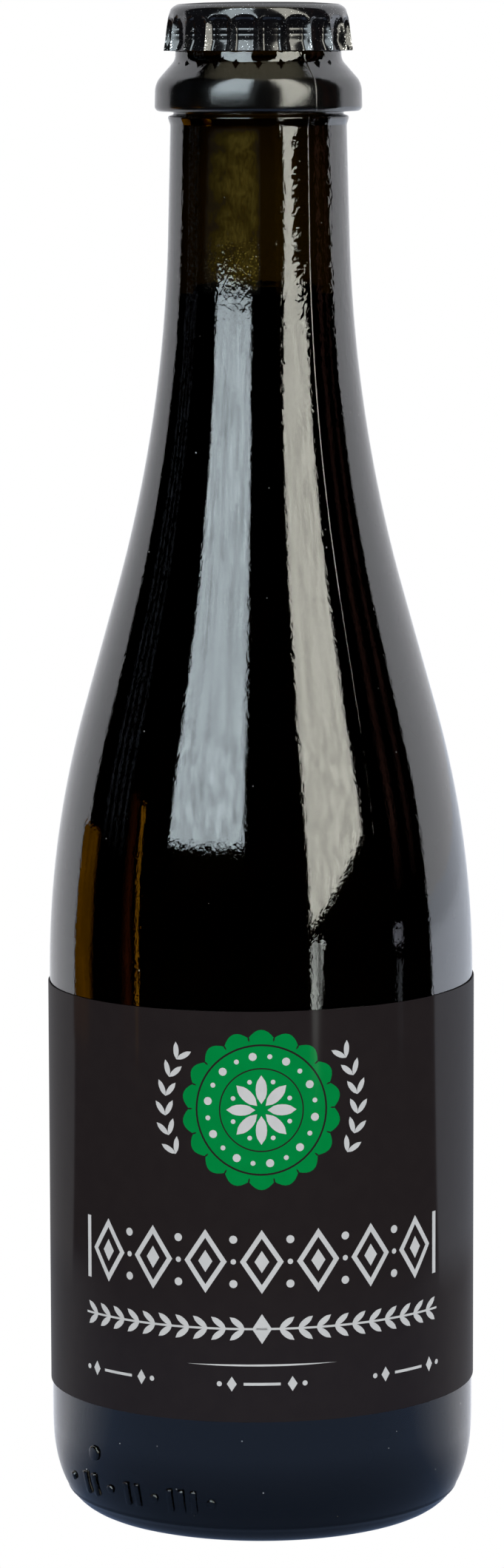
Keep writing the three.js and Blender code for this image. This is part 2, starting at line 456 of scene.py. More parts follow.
@dataclass(frozen=True)
class BottleGlass:
    """Dark green-brown glass: clear, coloured by its thickness, with a faint orange-peel skin.

    Beside the seam the neck has ripples and a slight swell. The ring has a dull skin. A painted reflection
    lies on the front of the neck above the drink: a streaked, mottled olive glow for the left light's lower
    edge, with painted glints low in it.
    """

    lost_per_mm: Triple = (0.58, 0.66, 0.98)
    ior: float = 1.52
    wave_mm: float = 5.0
    wave_depth_mm: float = 0.02
    grain_mm: float = 0.5
    grain_depth_mm: float = 0.017
    grain_by_z: Ramp = (165.0, 188.0, (0.6, 1.0))
    ripple_mm: float = 1.0
    ripple_depth_mm: float = 0.05
    ripple_by_z: Ramp = (165.0, 188.0, (0.08, 1.0))
    ripple_top: Ramp = (212.0, 216.0, (1.0, 0.3))
    ripple_by_x: Ramp = (3.4, 5.2, (0.22, 1.0))
    swell_depth_mm: float = 0.1
    swell_x: Triple = (2.7, 4.9, 6.8)
    swell_foot: Point = (172.0, 195.0)
    swell_top: Point = (216.0, 212.0)
    dull_foot: Ramp = (215.6, 216.6, (0.0, 0.16))
    dull_top: Point = (222.4, 221.0)
    # Painted reflection: the olive glow on the front of the neck above the drink, and the painted glints low
    # in it. Together they stand in for the left light's lower edge reflected there.
    painted_reflection: Colour = (0.90, 0.72, 0.14, 1)
    painted_reflection_tint: Point = (0.0, 0.25)
    painted_reflection_share: float = 0.048
    painted_reflection_x: Sequence[Point] = ((-8.6, -5.0), (0.3, -0.6))
    painted_reflection_z: Sequence[Point] = ((189.0, 194.0), (214.0, 212.5))
    painted_reflection_y: Point = (-11.0, -11.5)
    reflection_streak_mm: float = 0.3
    reflection_streak_cut: Ramp = (0.35, 0.65, (0.45, 1.0))
    cloud_mm: float = 3.0
    cloud_cut: Ramp = (0.35, 0.62, (0.3, 1.0))
    # Painted glints: bright specks of the same painted reflection, low in it.
    painted_glint_share: float = 0.3
    speck_mm: float = 0.28
    painted_glint_cut: Point = (0.63, 0.68)
    painted_glint_z: Point = (198.0, 192.0)

    def material(self) -> Finish:
        """Builds the material.

        Returns:
            The material.
        """
        sheet = new_sheet("green_brown_glass")
        x, _, z = sheet.split(sheet.place())
        ripple = sheet.times(
            sheet.noise(self.ripple_mm, 1.0, 0.7),
            sheet.span(z, *self.ripple_by_z),
            sheet.span(z, *self.ripple_top),
            sheet.span(x, *self.ripple_by_x),
        )
        rise, crest, fall = self.swell_x
        swell = sheet.times(
            sheet.span(x, rise, crest),
            sheet.span(x, fall, crest),
            sheet.span(z, *self.swell_foot),
            sheet.span(z, *self.swell_top),
        )
        grain = sheet.times(sheet.noise(self.grain_mm, 2.0, 0.6), sheet.span(z, *self.grain_by_z))
        normal = sheet.bump(sheet.noise(self.wave_mm, 1.0, 0.35), self.wave_depth_mm)
        normal = sheet.bump(swell, self.swell_depth_mm, normal)
        normal = sheet.bump(ripple, self.ripple_depth_mm, normal)
        normal = sheet.bump(grain, self.grain_depth_mm, normal)
        # Painted reflection: inside the mask the glass turns partly into a lit olive surface, which paints
        # the left light's reflection and its glints.
        painted_reflection, specks = self.painted_reflection_masks(sheet)
        tint = sheet.fade(sheet.math("MAXIMUM", painted_reflection, specks), *self.painted_reflection_tint)
        shown = sheet.math("ADD", sheet.times(painted_reflection, self.painted_reflection_share), sheet.times(specks, self.painted_glint_share))
        density = max(self.lost_per_mm) / MM
        colour = [1 - lost / MM / density for lost in self.lost_per_mm]
        volume = sheet.add("ShaderNodeVolumeAbsorption", {"Color": (*colour, 1), "Density": density})
        sheet.close(volume.outputs["Volume"], "Volume")
        return sheet.principled(
            Base_Color=sheet.mix(tint, grey(1.0), self.painted_reflection),
            Roughness=sheet.times(sheet.span(z, *self.dull_foot), sheet.span(z, *self.dull_top)),
            IOR=self.ior,
            Transmission_Weight=sheet.math("SUBTRACT", 1.0, shown),
            Normal=normal,
        )

    def painted_reflection_masks(self, sheet: NodeSheet) -> Sequence[Socket]:
        """How much painted reflection and how many painted glints lie at a place.

        Args:
            sheet: The material's sheet.

        Returns:
            The painted reflection and the painted glints, each from 0 to 1.
        """
        x, y, z = sheet.split(sheet.place())
        sides = [sheet.span(x, *edge) for edge in self.painted_reflection_x]
        ends = [sheet.span(z, *edge) for edge in self.painted_reflection_z]
        # The painted reflection is masked to the front of the neck, above the drink and left of the middle.
        mask = sheet.times(*sides, *ends, sheet.span(y, *self.painted_reflection_y))
        dots = sheet.fade(sheet.noise(self.speck_mm, 1.0), *self.painted_glint_cut)
        specks = sheet.times(mask, sheet.span(z, *self.painted_glint_z), dots)
        streaked = sheet.fade(sheet.noise(self.reflection_streak_mm, 2.0, 0.4), *self.reflection_streak_cut)
        cloud = sheet.fade(sheet.noise(self.cloud_mm), *self.cloud_cut)
        return sheet.times(mask, streaked, cloud), specks


@dataclass(frozen=True)
class Stout:
    """Near-black stout, a little browner in random blotches."""

    deep: Colour = (0.0012, 0.0005, 0.0003, 1)
    thin: Colour = (0.004, 0.0015, 0.0005, 1)
    cloud_mm: float = 9.0
    cloud_cut: Point = (0.4, 0.7)

    def material(self) -> Finish:
        """Builds the material.

        Returns:
            The material.
        """
        sheet = new_sheet("stout")
        cloud = sheet.fade(sheet.noise(self.cloud_mm), *self.cloud_cut)
        colour = sheet.mix(cloud, self.deep, self.thin)
        return sheet.principled(Base_Color=colour, Roughness=0.12, IOR=1.12, Specular_IOR_Level=0.3)


@dataclass(frozen=True)
class BlackLacquer:
    """Black lacquer on the cap, glossy on the skirt and satin on top, with specks where it has rubbed."""

    lacquer: Colour = (0.004, 0.004, 0.005, 1)
    steel: Colour = (0.55, 0.55, 0.56, 1)
    speck_mm: float = 0.17
    rub_by_radius: Ramp = (13.72, 14.25, (0.03, 0.18))
    worn_cut: Point = (0.745, 0.78)
    skirt_roughness: Point = (0.13, 0.3)
    top_z: Point = (232.28, 232.5)
    top_roughness: float = 0.5
    reflection: Point = (0.5, 0.02)
    peel_mm: float = 0.8
    peel_depth_mm: float = 0.004

    def material(self) -> Finish:
        """Builds the material.

        Returns:
            The material.
        """
        sheet = new_sheet("black_lacquer")
        x, y, z = sheet.split(sheet.place())
        radius = sheet.math("SQRT", sheet.math("ADD", sheet.times(x, x), sheet.times(y, y)))
        rubbed = sheet.span(radius, *self.rub_by_radius)
        worn = sheet.fade(sheet.math("ADD", sheet.noise(self.speck_mm, 1.0), rubbed), *self.worn_cut)
        on_top = sheet.span(z, *self.top_z)
        return sheet.principled(
            Base_Color=sheet.mix(worn, self.lacquer, self.steel),
            Metallic=worn,
            Roughness=sheet.blend(on_top, sheet.fade(worn, 0, 1, self.skirt_roughness), self.top_roughness),
            IOR=1.45,
            Specular_IOR_Level=sheet.fade(on_top, 0, 1, self.reflection),
            Normal=sheet.bump(sheet.noise(self.peel_mm), self.peel_depth_mm),
        )


@dataclass(frozen=True)
class PrintedPaper:
    """Smooth varnished label paper, or an ink printed on it."""

    name: str
    colour: Colour
    shade: Colour
    varnish: float = 0.17
    roughness: Point = (0.51, 0.59)
    cloud_mm: float = 2.5
    cloud_cut: Point = (0.35, 0.65)
    fibre_mm: float = 0.35
    fibre_cut: Point = (0.3, 0.7)
    fibre_depth_mm: float = 0.002

    def material(self) -> Finish:
        """Builds the material.

        Returns:
            The material.
        """
        sheet = new_sheet(self.name)
        cloud = sheet.fade(sheet.noise(self.cloud_mm, 4.0), *self.cloud_cut)
        fibre = sheet.noise(self.fibre_mm, 3.0, 3.0)
        return sheet.principled(
            Base_Color=sheet.mix(cloud, self.colour, self.shade),
            Roughness=sheet.fade(fibre, *self.fibre_cut, self.roughness),
            Specular_IOR_Level=0.0,
            Coat_Weight=self.varnish,
            Coat_Roughness=0.09,
            Coat_IOR=1.5,
            Normal=sheet.bump(fibre, self.fibre_depth_mm),
        )


@dataclass(frozen=True)
class PaleDust:
    """Pale dust, uneven from speck to speck."""

    tones: Point = (0.35, 0.8)

    def material(self) -> Finish:
        """Builds the material.

        Returns:
            The material.
        """
        sheet = new_sheet("pale_dust")
        return sheet.principled(Base_Color=sheet.mix(sheet.noise(3.0), *map(grey, self.tones)), Roughness=0.8)


def dress(piece: Piece, finish: Finish) -> None:
    """Gives a piece one material."""
    piece.data.materials.clear()
    piece.data.materials.append(finish)


def hand_over(piece: Piece, finish: Finish, sharp: float, slot: Slot, *nodes: str) -> Piece:
    """Shades and dresses a finished piece, rides it on the bottle's body and reports it.

    Args:
        piece: The finished piece.
        finish: Its material.
        sharp: Edges sharper than this angle, in degrees, aren't shaded smooth.
        slot: A material slot; not used.
        nodes: The solids that it stands for.

    Returns:
        The piece.
    """
    make_active(piece)
    bpy.ops.object.shade_smooth_by_angle(angle=math.radians(sharp))
    dress(piece, finish)
    if nodes:
        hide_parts(*nodes)
    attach(piece, BODY)
    log.info("%s: %d faces", piece.name, len(piece.data.polygons))
    return piece


# The bottle


@dataclass
class GlassBottle:
    """The glass: outline, mould seams, heel line and the raised marks on the heel."""

    body_radius: float = 32.75
    lip_top: float = 231.6
    shoulder_corner_z: float = 104.9
    shoulder_fillet: float = 152.0
    neck_corner: Point = (14.54, 170.0)
    neck_fillet: float = 221.0
    neck_top: Point = (13.43, 214.5)
    collar_radius: float = 13.85
    groove_radius: float = 12.95
    ring_radius: float = 15.8
    ring_bottom: float = 216.35
    ring_top: float = 220.9
    finish_radius: float = 12.3
    cap_bottom: float = 225.5
    heel_width: float = 7.9
    heel_height: float = 14.9
    heel_power: float = 2.35
    heel_line_z: float = 3.0
    heel_line_steps: Sequence[float] = (-0.35, -0.12, 0.12, 0.35)
    heel_line_relief: float = 0.13
    heel_line_half: float = 0.2
    heel_line_clear: float = 0.4
    stand_inner_radius: float = 22.4
    punt_height: float = 11.0
    bore_radius: float = 8.4
    inner_neck_radius: float = 9.6
    inner_body_radius: float = 30.4
    inner_floor_z: float = 4.6
    columns: int = 192
    seam_azimuth: float = 33.6
    seam_z: Point = (1.0, 225.0)
    seam_half_width: float = 0.16
    seam_relief: float = 0.012
    seam_rise: float = 0.018
    seam_rise_z: float = 125.0
    mark_z: float = 7.2
    mark_size: Point = (1.0, 3.8)
    mark_relief: float = 0.4
    mark_softness: float = 0.26
    bar_angles: Sequence[float] = (53, 57, 40, 36.5, 26, 22.5, 19)
    dot_angles: Sequence[float] = (65, 46.5, 31, 14)
    boss: Triple = (51.7, 12.4, 1.2)
    drink_reach: float = 0.15
    drink_creep: float = 0.35
    creep_width: float = 0.5

    def heel_radius(self, z: float) -> float:
        """Radius of the outer glass at a height on the heel, a superellipse, in millimetres."""
        down = (self.heel_height - z) / self.heel_height
        return self.body_radius - self.heel_width * (1 - (1 - down**self.heel_power) ** (1 / self.heel_power))

    def heel_outline(self, steps: int) -> list[Point]:
        """The heel from the standing ring up to the straight body, with the fine line round it.

        Args:
            steps: How many steps its curve has.

        Returns:
            Points (radius, height) in millimetres.
        """
        heights = [self.heel_height * (1 - math.sin((1 - k / steps) * math.pi / 2)) for k in range(steps + 1)]
        heights = [z for z in heights if abs(z - self.heel_line_z) > self.heel_line_clear]
        heights = sorted(heights + [self.heel_line_z + step for step in self.heel_line_steps])
        on_line = [abs(z - self.heel_line_z) < self.heel_line_half for z in heights]
        return [(self.heel_radius(z) + self.heel_line_relief * on, z) for z, on in zip(heights, on_line)]

    def outer_outline(self) -> list[Point]:
        """The outer glass from the middle of the punt to the lip.

        Returns:
            Points (radius, height) in millimetres.
        """
        stand, finish = self.stand_inner_radius, self.finish_radius
        punt = rounded_outline([
            Corner(0, self.punt_height),
            Corner(1.5, self.punt_height),
            Corner(6, self.punt_height - 0.5),
            Corner(19.5, self.punt_height - 3.4, 6, 8),
            Corner(stand, 0, 0.8, 5),
            Corner(stand + 1.5, 0),
        ])
        above = rounded_outline([
            Corner(self.body_radius, 30),
            Corner(self.body_radius, self.shoulder_corner_z, self.shoulder_fillet, 22),
            Corner(*self.neck_corner, self.neck_fillet, 26),
            Corner(self.neck_top[0], self.neck_top[1] - 0.2, 0.8, 3),
            Corner(self.collar_radius, self.neck_top[1] + 1.1, 0.35, 4),
            Corner(self.groove_radius, self.ring_bottom - 0.45, 0.2, 3),
            Corner(self.groove_radius, self.ring_bottom - 0.1, 0.15, 2),
            Corner(self.ring_radius, self.ring_bottom, 0.85, 8),
            Corner(self.ring_radius - 0.12, self.ring_top - 0.25, 3.5, 10),
            Corner(finish + 0.35, 224.1, 1.9, 7),
            Corner(finish + 0.3, self.cap_bottom, 0.4, 2),
            Corner(finish - 0.25, self.cap_bottom + 1, 0.6, 2),
            Corner(finish, self.cap_bottom + 2.6),
            Corner(finish - 0.2, self.lip_top, 1.6, 6),
            Corner(finish - 2.4, self.lip_top),
        ])
        return [*punt, *self.heel_outline(20), *above]

    def inner_outline(self, reach: float) -> list[Point]:
        """The hollow from the lip down to the middle of its floor.

        Args:
            reach: How far it is moved out into the wall, in millimetres.

        Returns:
            Points (radius, height) in millimetres.
        """
        floor = self.inner_floor_z - reach
        middle = self.punt_height + 4.2 - reach
        corner_r, corner_z = self.neck_corner
        return rounded_outline([
            Corner(self.bore_radius + 1.2, self.lip_top),
            Corner(self.bore_radius, self.lip_top - 0.9, 0.5, 3),
            Corner(self.bore_radius, 220, 6, 3),
            Corner(self.inner_neck_radius + reach, 206, 12, 4),
            Corner(corner_r - 3.9 + reach, corner_z - 0.5, self.neck_fillet - 40, 18),
            Corner(self.inner_body_radius + reach, self.shoulder_corner_z - 1, self.shoulder_fillet, 14),
            Corner(self.inner_body_radius + reach, floor, 6.5, 8),
            Corner(22, floor, 3, 4),
            Corner(18.5, middle - 3.3, 4, 4),
            Corner(6, middle - 0.5),
            Corner(0, middle),
        ])

    def outer_radius(self, z: float) -> float:
        """Radius of the outer glass at a height between the standing ring and the lip.

        Args:
            z: The height, in millimetres.

        Returns:
            The radius, in millimetres.
        """
        outline = [point for point in self.outer_outline() if point[0] > self.finish_radius - 0.3]
        below = [point for point in outline if point[1] <= z]
        above = [point for point in outline if point[1] > z]
        if not below or not above:
            return outline[-1][0]
        (r0, z0), (r1, z1) = below[-1], above[0]
        return r0 + (r1 - r0) * (z - z0) / max(z1 - z0, TINY)

    def raise_seams(self, shell: Piece) -> None:
        """Raises the two fine lines where the halves of the mould met, less on the body than above it.

        Args:
            shell: The bottle's closed shell.
        """
        turn = math.radians(self.seam_azimuth)
        across = Vector((math.cos(turn), math.sin(turn), 0))
        foot, top = self.seam_z

        def on_seam(vert: bmesh.types.BMVert) -> bool:
            """Whether a vertex is on a seam's plane and on the outer glass."""
            z, radius = vert.co.z / MM, vert.co.xy.length / MM
            return abs(vert.co.dot(across)) < TINY and foot < z < top and radius > self.outer_radius(z) - 0.5

        with editing(shell):
            pick(shell, Part.EDGES, lambda edge: all(on_seam(vert) for vert in edge.verts))
            bpy.ops.mesh.bevel(offset=self.seam_half_width * MM, segments=4, affect="EDGES")
            for low, relief in ((foot, self.seam_relief), (self.seam_rise_z, self.seam_rise)):
                pick(shell, Part.VERTS, lambda vert: vert.co.z > low * MM and on_seam(vert))
                bpy.ops.transform.shrink_fatten(value=relief * MM)

    def mark_place(self, degrees: float, z: float) -> tuple[Vector, Vector]:
        """Where a mark sits on the heel and how it is turned, its own +X facing out.

        Args:
            degrees: Angle round from the front towards the viewer's left.
            z: Height of its middle, in millimetres.

        Returns:
            Its place in metres and its turn in radians.
        """
        angle = math.radians(degrees)
        slope = math.atan2(self.heel_radius(z + 1) - self.heel_radius(z - 1), 2)
        return on_round(self.heel_radius(z), -angle, z) * MM, Vector((0, slope, -math.pi / 2 - angle))

    def heel_marks(self) -> Piece:
        """Raised bars, dots and one round boss on the heel, with softened edges.

        Returns:
            The marks as one object.
        """
        deep = 2 * self.mark_relief * MM
        size = (deep, *(side * MM for side in self.mark_size))
        marks = []
        for degrees in self.bar_angles:
            place, turn = self.mark_place(degrees, self.mark_z)
            bpy.ops.mesh.primitive_cube_add(size=1, location=place, rotation=turn, scale=size)
            marks.append(named("heel_bar"))
        rounds = [(degrees, self.mark_z, self.mark_size[0] * 0.7) for degrees in self.dot_angles]
        for degrees, z, radius in [*rounds, self.boss]:
            bpy.ops.mesh.primitive_cylinder_add(vertices=24, radius=radius * MM, depth=deep)
            dot = named("heel_dot")
            dot.rotation_euler = (0, math.pi / 2, 0)
            apply_place(dot)
            dot.location, dot.rotation_euler = self.mark_place(degrees, z)
            marks.append(dot)
        joined = join(marks, "heel_marks")
        apply_modifier(joined, "BEVEL", width=self.mark_softness * MM, segments=3, limit_method="ANGLE")
        return joined

    def build(self) -> Piece:
        """Models the glass as one closed shell.

        Returns:
            The finished piece.
        """
        outline = [*self.outer_outline(), *self.inner_outline(0)]
        shell = spin_outline("glass_shell", outline, self.columns, math.radians(self.seam_azimuth - 90))
        self.raise_seams(shell)
        marks = self.heel_marks()
        apply_modifier(shell, "BOOLEAN", operation="UNION", solver="MANIFOLD", object=marks)
        bpy.data.objects.remove(marks)
        return hand_over(shell, BottleGlass().material(), 40, Slot.GLASS, "bottle")

    def stout(self, fill_z: float) -> Piece:
        """Models the drink, which wets the wall and creeps up it a little.

        Args:
            fill_z: Height of its level surface, in millimetres.

        Returns:
            The finished piece.
        """
        below = [point for point in self.inner_outline(self.drink_reach) if point[1] < fill_z - 1]
        rim = self.inner_neck_radius + self.drink_reach + 0.05
        radii = [rim * (0.6 + 0.4 * k / 11) for k in range(12)]
        level = [(r, fill_z + self.drink_creep * math.exp((r - rim) / self.creep_width)) for r in radii]
        drink = spin_outline("stout_fill", [(0.0, fill_z), *level, *below], self.columns // 2)
        return hand_over(drink, Stout().material(), 40, Slot.BEER, "beer")


@dataclass
class CrownCap:
    """A crimped crown cap: pressed steel with 21 narrow ridges and broad recesses between them."""

    top: float = 232.8
    bottom: float = 225.5
    corner: Point = (13.6, 232.35)
    corner_fillet: float = 1.9
    flutes: int = 21
    columns_per_flute: int = 16
    wall: float = 0.24
    skirt_levels: int = 16
    ridge_share: float = 0.4
    ridge_power: float = 0.7
    arch_top: float = 230.95
    arch_sag: float = 0.9
    arch_softness: float = 0.5
    dome: Sequence[Point] = ((0.0, 0.0), (3.0, 0.01), (6.0, 0.04), (8.5, 0.09))
    ridge_radii: Sequence[Point] = (
        (231.4, 13.4), (230.4, 13.72), (229.0, 13.92), (227.0, 14.16), (225.5, 14.4),
    )
    recess_radii: Sequence[Point] = (
        (231.4, 13.4), (230.6, 13.45), (230.1, 13.2), (229.5, 12.98), (228.84, 12.9), (228.76, 12.89),
        (228.62, 12.95), (228.54, 12.95), (227.98, 12.9), (227.9, 12.89), (227.76, 12.95), (227.68, 12.95),
        (227.1, 12.93), (226.85, 12.94), (226.7, 12.97), (225.5, 13.46),
    )

    def along(self, table: Sequence[Point], z: float) -> float:
        """The radius that a table gives at a height.

        Args:
            table: Rows of (height, radius) in millimetres, from the top down.
            z: The height, in millimetres.

        Returns:
            The radius, in millimetres.
        """
        for (z0, r0), (z1, r1) in zip(table, table[1:]):
            if z >= z1:
                return r0 + (r1 - r0) * (z0 - z) / (z0 - z1)
        return table[-1][1]

    def heights(self) -> list[float]:
        """Heights of the skirt's rings from the top down, with one at each bend of a recess.

        Returns:
            The heights, in millimetres.
        """
        top = self.ridge_radii[0][0]
        even = [top + (self.bottom - top) * k / self.skirt_levels for k in range(self.skirt_levels + 1)]
        bends = [z for z, _ in self.recess_radii]
        between = [z for z in even if min(abs(z - bend) for bend in bends) > 0.1]
        return sorted({*bends, *between}, reverse=True)

    def outline(self) -> list[Point]:
        """The cap's outer outline along a ridge, from the middle of the top to the edge of the skirt.

        Returns:
            Points (radius, height) in millimetres.
        """
        dome = [(r, self.top - drop) for r, drop in self.dome]
        top, radius = self.ridge_radii[0]
        shoulder = rounded_outline([
            Corner(*dome[-1]),
            Corner(10.4, self.top - 0.2),
            Corner(*self.corner, self.corner_fillet, 10),
            Corner(radius + 0.28, top - 2),
        ])
        shoulder = [point for point in shoulder[1:] if point[1] > top + 0.05]
        return [*dome, *shoulder, *((self.along(self.ridge_radii, z), z) for z in self.heights())]

    def press_flutes(self, cap: Piece) -> None:
        """Draws the skirt in between its ridges, ring by ring and column by column.

        Args:
            cap: The plain cap, with no flutes yet.
        """
        half = self.columns_per_flute // 2
        step = 2 * math.pi / (self.flutes * self.columns_per_flute)
        with editing(cap):
            for z in self.heights()[1:]:
                ridge, recess = self.along(self.ridge_radii, z), self.along(self.recess_radii, z)
                for column in range(1, half + 1):
                    away = column / half
                    sweep = math.pi * min(away / self.ridge_share, 1)
                    share = (0.5 - 0.5 * math.cos(sweep)) ** self.ridge_power
                    arch = (self.arch_top - self.arch_sag * (1 - away) ** 2 - z) / self.arch_softness
                    scale = 1 + (recess / ridge - 1) * share * min(1.0, max(0.0, arch))

                    def in_column(vert: bmesh.types.BMVert) -> bool:
                        """Whether a vertex is in this ring and this far from its ridge.

                        Args:
                            vert: A vertex of the cap.

                        Returns:
                            True for one that is.
                        """
                        if abs(vert.co.z - z * MM) > TINY:
                            return False
                        place = round(math.atan2(vert.co.x, -vert.co.y) / step) % self.columns_per_flute
                        return min(place, self.columns_per_flute - place) == column

                    if pick(cap, Part.VERTS, in_column):
                        bpy.ops.transform.resize(value=(scale, scale, 1), center_override=(0, 0, z * MM))

    def build(self) -> Piece:
        """Models the cap as a pressed sheet with its real thickness.

        Returns:
            The finished piece.
        """
        columns = self.flutes * self.columns_per_flute
        cap = spin_outline("crown_cap_shell", self.outline(), columns, -math.pi / 2)
        self.press_flutes(cap)
        with editing(cap):
            grab_all()
            bpy.ops.mesh.normals_make_consistent(inside=False)
        apply_modifier(cap, "SOLIDIFY", thickness=self.wall * MM, offset=-1.0)
        return hand_over(cap, BlackLacquer().material(), 50, Slot.STEEL, "crown_cap")


@dataclass
class WrapLabel:
    """The paper label and its print, drawn flat and then wrapped round the bottle.

    Flat places are (x, y): x along the label from the middle of its front, y up from the floor.
    """

    radius: float = 33.0
    bottom: float = 20.3
    top: float = 83.1
    thickness: float = 0.17
    clearance: float = 0.01
    half_angle: float = 165.0
    rise: float = 0.22
    columns: int = 120
    rows: int = 12
    ink: float = 0.03
    strip: float = 0.8
    charcoal: Sequence[Colour] = ((0.0172, 0.0138, 0.0148, 1), (0.0188, 0.0152, 0.016, 1))
    green: Sequence[Colour] = ((0.0, 0.245, 0.052, 1), (0.0, 0.23, 0.047, 1))
    light_grey: Sequence[Colour] = ((0.62, 0.635, 0.65, 1), (0.58, 0.595, 0.61, 1))
    shapes: dict[Ink, list[Piece]] = field(default_factory=lambda: {ink: [] for ink in Ink})

    def paper(self) -> Piece:
        """Models the paper as a strip extruded column by column round the bottle.

        Returns:
            The sheet.
        """
        start = math.radians(-self.half_angle)
        step = math.radians(2 * self.half_angle) / self.columns

        def place(column: int, z: float) -> Vector:
            """A point of the strip at a column and a height."""
            angle = start + column * step
            return on_round(self.radius, angle, z + self.rise * angle) * MM

        sheet = one_point("label_sheet", place(0, self.bottom))
        with editing(sheet):
            grab_all()
            for _ in range(self.rows):
                extrude((0, 0, (self.top - self.bottom) / self.rows * MM))
            for column in range(self.columns):
                last, here = place(column, 0), place(column + 1, 0)
                pick(sheet, Part.EDGES, lambda edge: all((v.co - last).xy.length < TINY for v in edge.verts))
                extrude(here - last)
            grab_all()
            bpy.ops.mesh.remove_doubles(threshold=TINY)
            pick(sheet, Part.FACES, lambda face: face.normal.xy.dot(face.calc_center_median().xy) < 0)
            bpy.ops.mesh.flip_normals()
        apply_modifier(sheet, "SOLIDIFY", thickness=(self.thickness - self.clearance) * MM, offset=-1.0)
        return sheet

    def drawn(self, ink: Ink) -> Piece:
        """Counts the primitive that was just added among an ink's shapes.

        Args:
            ink: The ink that prints it.

        Returns:
            The shape.
        """
        shape = named("print")
        self.shapes[ink].append(shape)
        return shape

    def disc(self, ink: Ink, x: float, y: float, radius: float, sides: int = 12) -> Piece:
        """Adds a flat disc.

        Args:
            ink: The ink that prints it.
            x: Its middle across.
            y: Its middle's height.
            radius: Its radius.
            sides: How many sides it has.

        Returns:
            The shape.
        """
        bpy.ops.mesh.primitive_circle_add(
            vertices=sides, radius=radius * MM, fill_type="NGON", location=(x * MM, y * MM, 0)
        )
        return self.drawn(ink)

    def bar(self, ink: Ink, x: float, y: float, width: float, height: float) -> None:
        """Adds a flat bar."""
        bpy.ops.mesh.primitive_plane_add(size=MM, location=(x * MM, y * MM, 0))
        self.drawn(ink).scale = (width, height, 1)

    def hollow(self, shape: Piece, line: float) -> None:
        """Leaves no more of a flat shape than a line along its edge.

        Args:
            shape: The flat shape.
            line: The line's width, in millimetres.
        """
        with editing(shape):
            grab_all()
            bpy.ops.mesh.inset(thickness=line * MM)
            bpy.ops.mesh.delete(type="FACE")

    def lozenge(self, ink: Ink, x: float, y: float, width: float, height: float, line: float = 0) -> None:
        """Adds a lozenge, solid or, where it has a line's width, open.

        Args:
            ink: The ink that prints it.
            x: Its middle across.
            y: Its middle's height.
            width: Its width.
            height: Its height.
            line: The line's width, or 0 for a solid one.
        """
        shape = self.disc(ink, x, y, 0.5, 4)
        shape.scale = (width, height, 1)
        apply_place(shape)
        if line:
            self.hollow(shape, line)

    def leaf(self, ink: Ink, x: float, y: float, length: float, width: float, degrees: float) -> None:
        """Adds a pointed leaf.

        Args:
            ink: The ink that prints it.
            x: Where it starts across.
            y: The height where it starts.
            length: Its length.
            width: Its width.
            degrees: The angle from +X that it points along.
        """
        point = length * 0.08
        shape = self.disc(ink, 0, 0, 0.5, 16)
        shape.scale = (length - 2 * point, width, 1)
        apply_place(shape)
        with editing(shape):
            for side in (-1, 1):
                pick(shape, Part.VERTS, lambda vert: vert.co.x * side > length * 0.415 * MM)
                bpy.ops.transform.translate(value=(side * point * MM, 0, 0))
        shape.location = (length / 2 * MM, 0, 0)
        apply_place(shape)
        shape.rotation_euler = (0, 0, math.radians(degrees))
        shape.location = (x * MM, y * MM, 0)

    def leaf_pair(self, x: float, y: float, length: float, width: float, degrees: float, lean: float) -> None:
        """Adds two grey leaves that lean away from an angle to both sides."""
        for side in (-lean, lean):
            self.leaf(Ink.GREY, x, y, length, width, degrees + side)

    def scalloped_disc(self, ink: Ink, y: float, radius: float, depth: float, scallops: int) -> None:
        """Adds a disc whose edge has a row of scallops.

        Args:
            ink: The ink that prints it.
            y: Its middle's height.
            radius: Its radius at the tops of the scallops.
            depth: How deep the gaps between them are.
            scallops: How many there are.
        """
        per = 8
        shape = self.disc(ink, 0, 0, radius, scallops * per)
        with editing(shape):
            for away in range(1, per // 2 + 1):
                scale = 1 - depth / radius * (1 - math.cos(math.pi / 2 * away / (per // 2)))

                def in_class(vert: bmesh.types.BMVert) -> bool:
                    """Whether a vertex is this far from the top of its scallop."""
                    place = round(math.atan2(vert.co.x, vert.co.y) / (2 * math.pi) * scallops * per) % per
                    return min(place, per - place) == away

                pick(shape, Part.VERTS, in_class)
                bpy.ops.transform.resize(value=(scale, scale, 1), center_override=(0, 0, 0))
        shape.location = (0, y * MM, 0)

    def around(self, y: float, reach: float, count: int, first: float = 0.5) -> Iterator[Triple]:
        """Places at even steps round a centre on the middle line.

        Args:
            y: Height of the centre.
            reach: How far the places are from it.
            count: How many places there are.
            first: Where the first place is, in steps from straight up.

        Yields:
            A place's x and y, and the angle from +X of the way out to it, in degrees.
        """
        for k in range(count):
            angle = 2 * math.pi * (k + first) / count
            yield reach * math.sin(angle), y + reach * math.cos(angle), 90 - math.degrees(angle)

    def draw_medallion(self, y: float) -> None:
        """Draws the round ornament in the upper half of the label.

        Args:
            y: Its middle's height.
        """
        self.scalloped_disc(Ink.GREEN, y, 12.2, 1.1, 18)
        for radius, line in ((10.0, 0.28), (6.4, 0.2)):
            self.hollow(self.disc(Ink.DARK, 0, y, radius, 72), line)
        for k, (x, at, _) in enumerate(self.around(y, 8.2, 20)):
            self.disc(Ink.GREY, x, at, 0.62 if k % 2 else 0.38)
        for x, at, out in self.around(y, 10.5, 18):
            self.leaf(Ink.DARK, x, at, 0.9, 0.24, out)
        for x, at, out in self.around(y, 0.9, 8, 0.0):
            self.leaf(Ink.GREY, x, at, 4.4, 1.7, out)
        for x, at, _ in self.around(y, 4.6, 8):
            self.disc(Ink.GREY, x, at, 0.36)

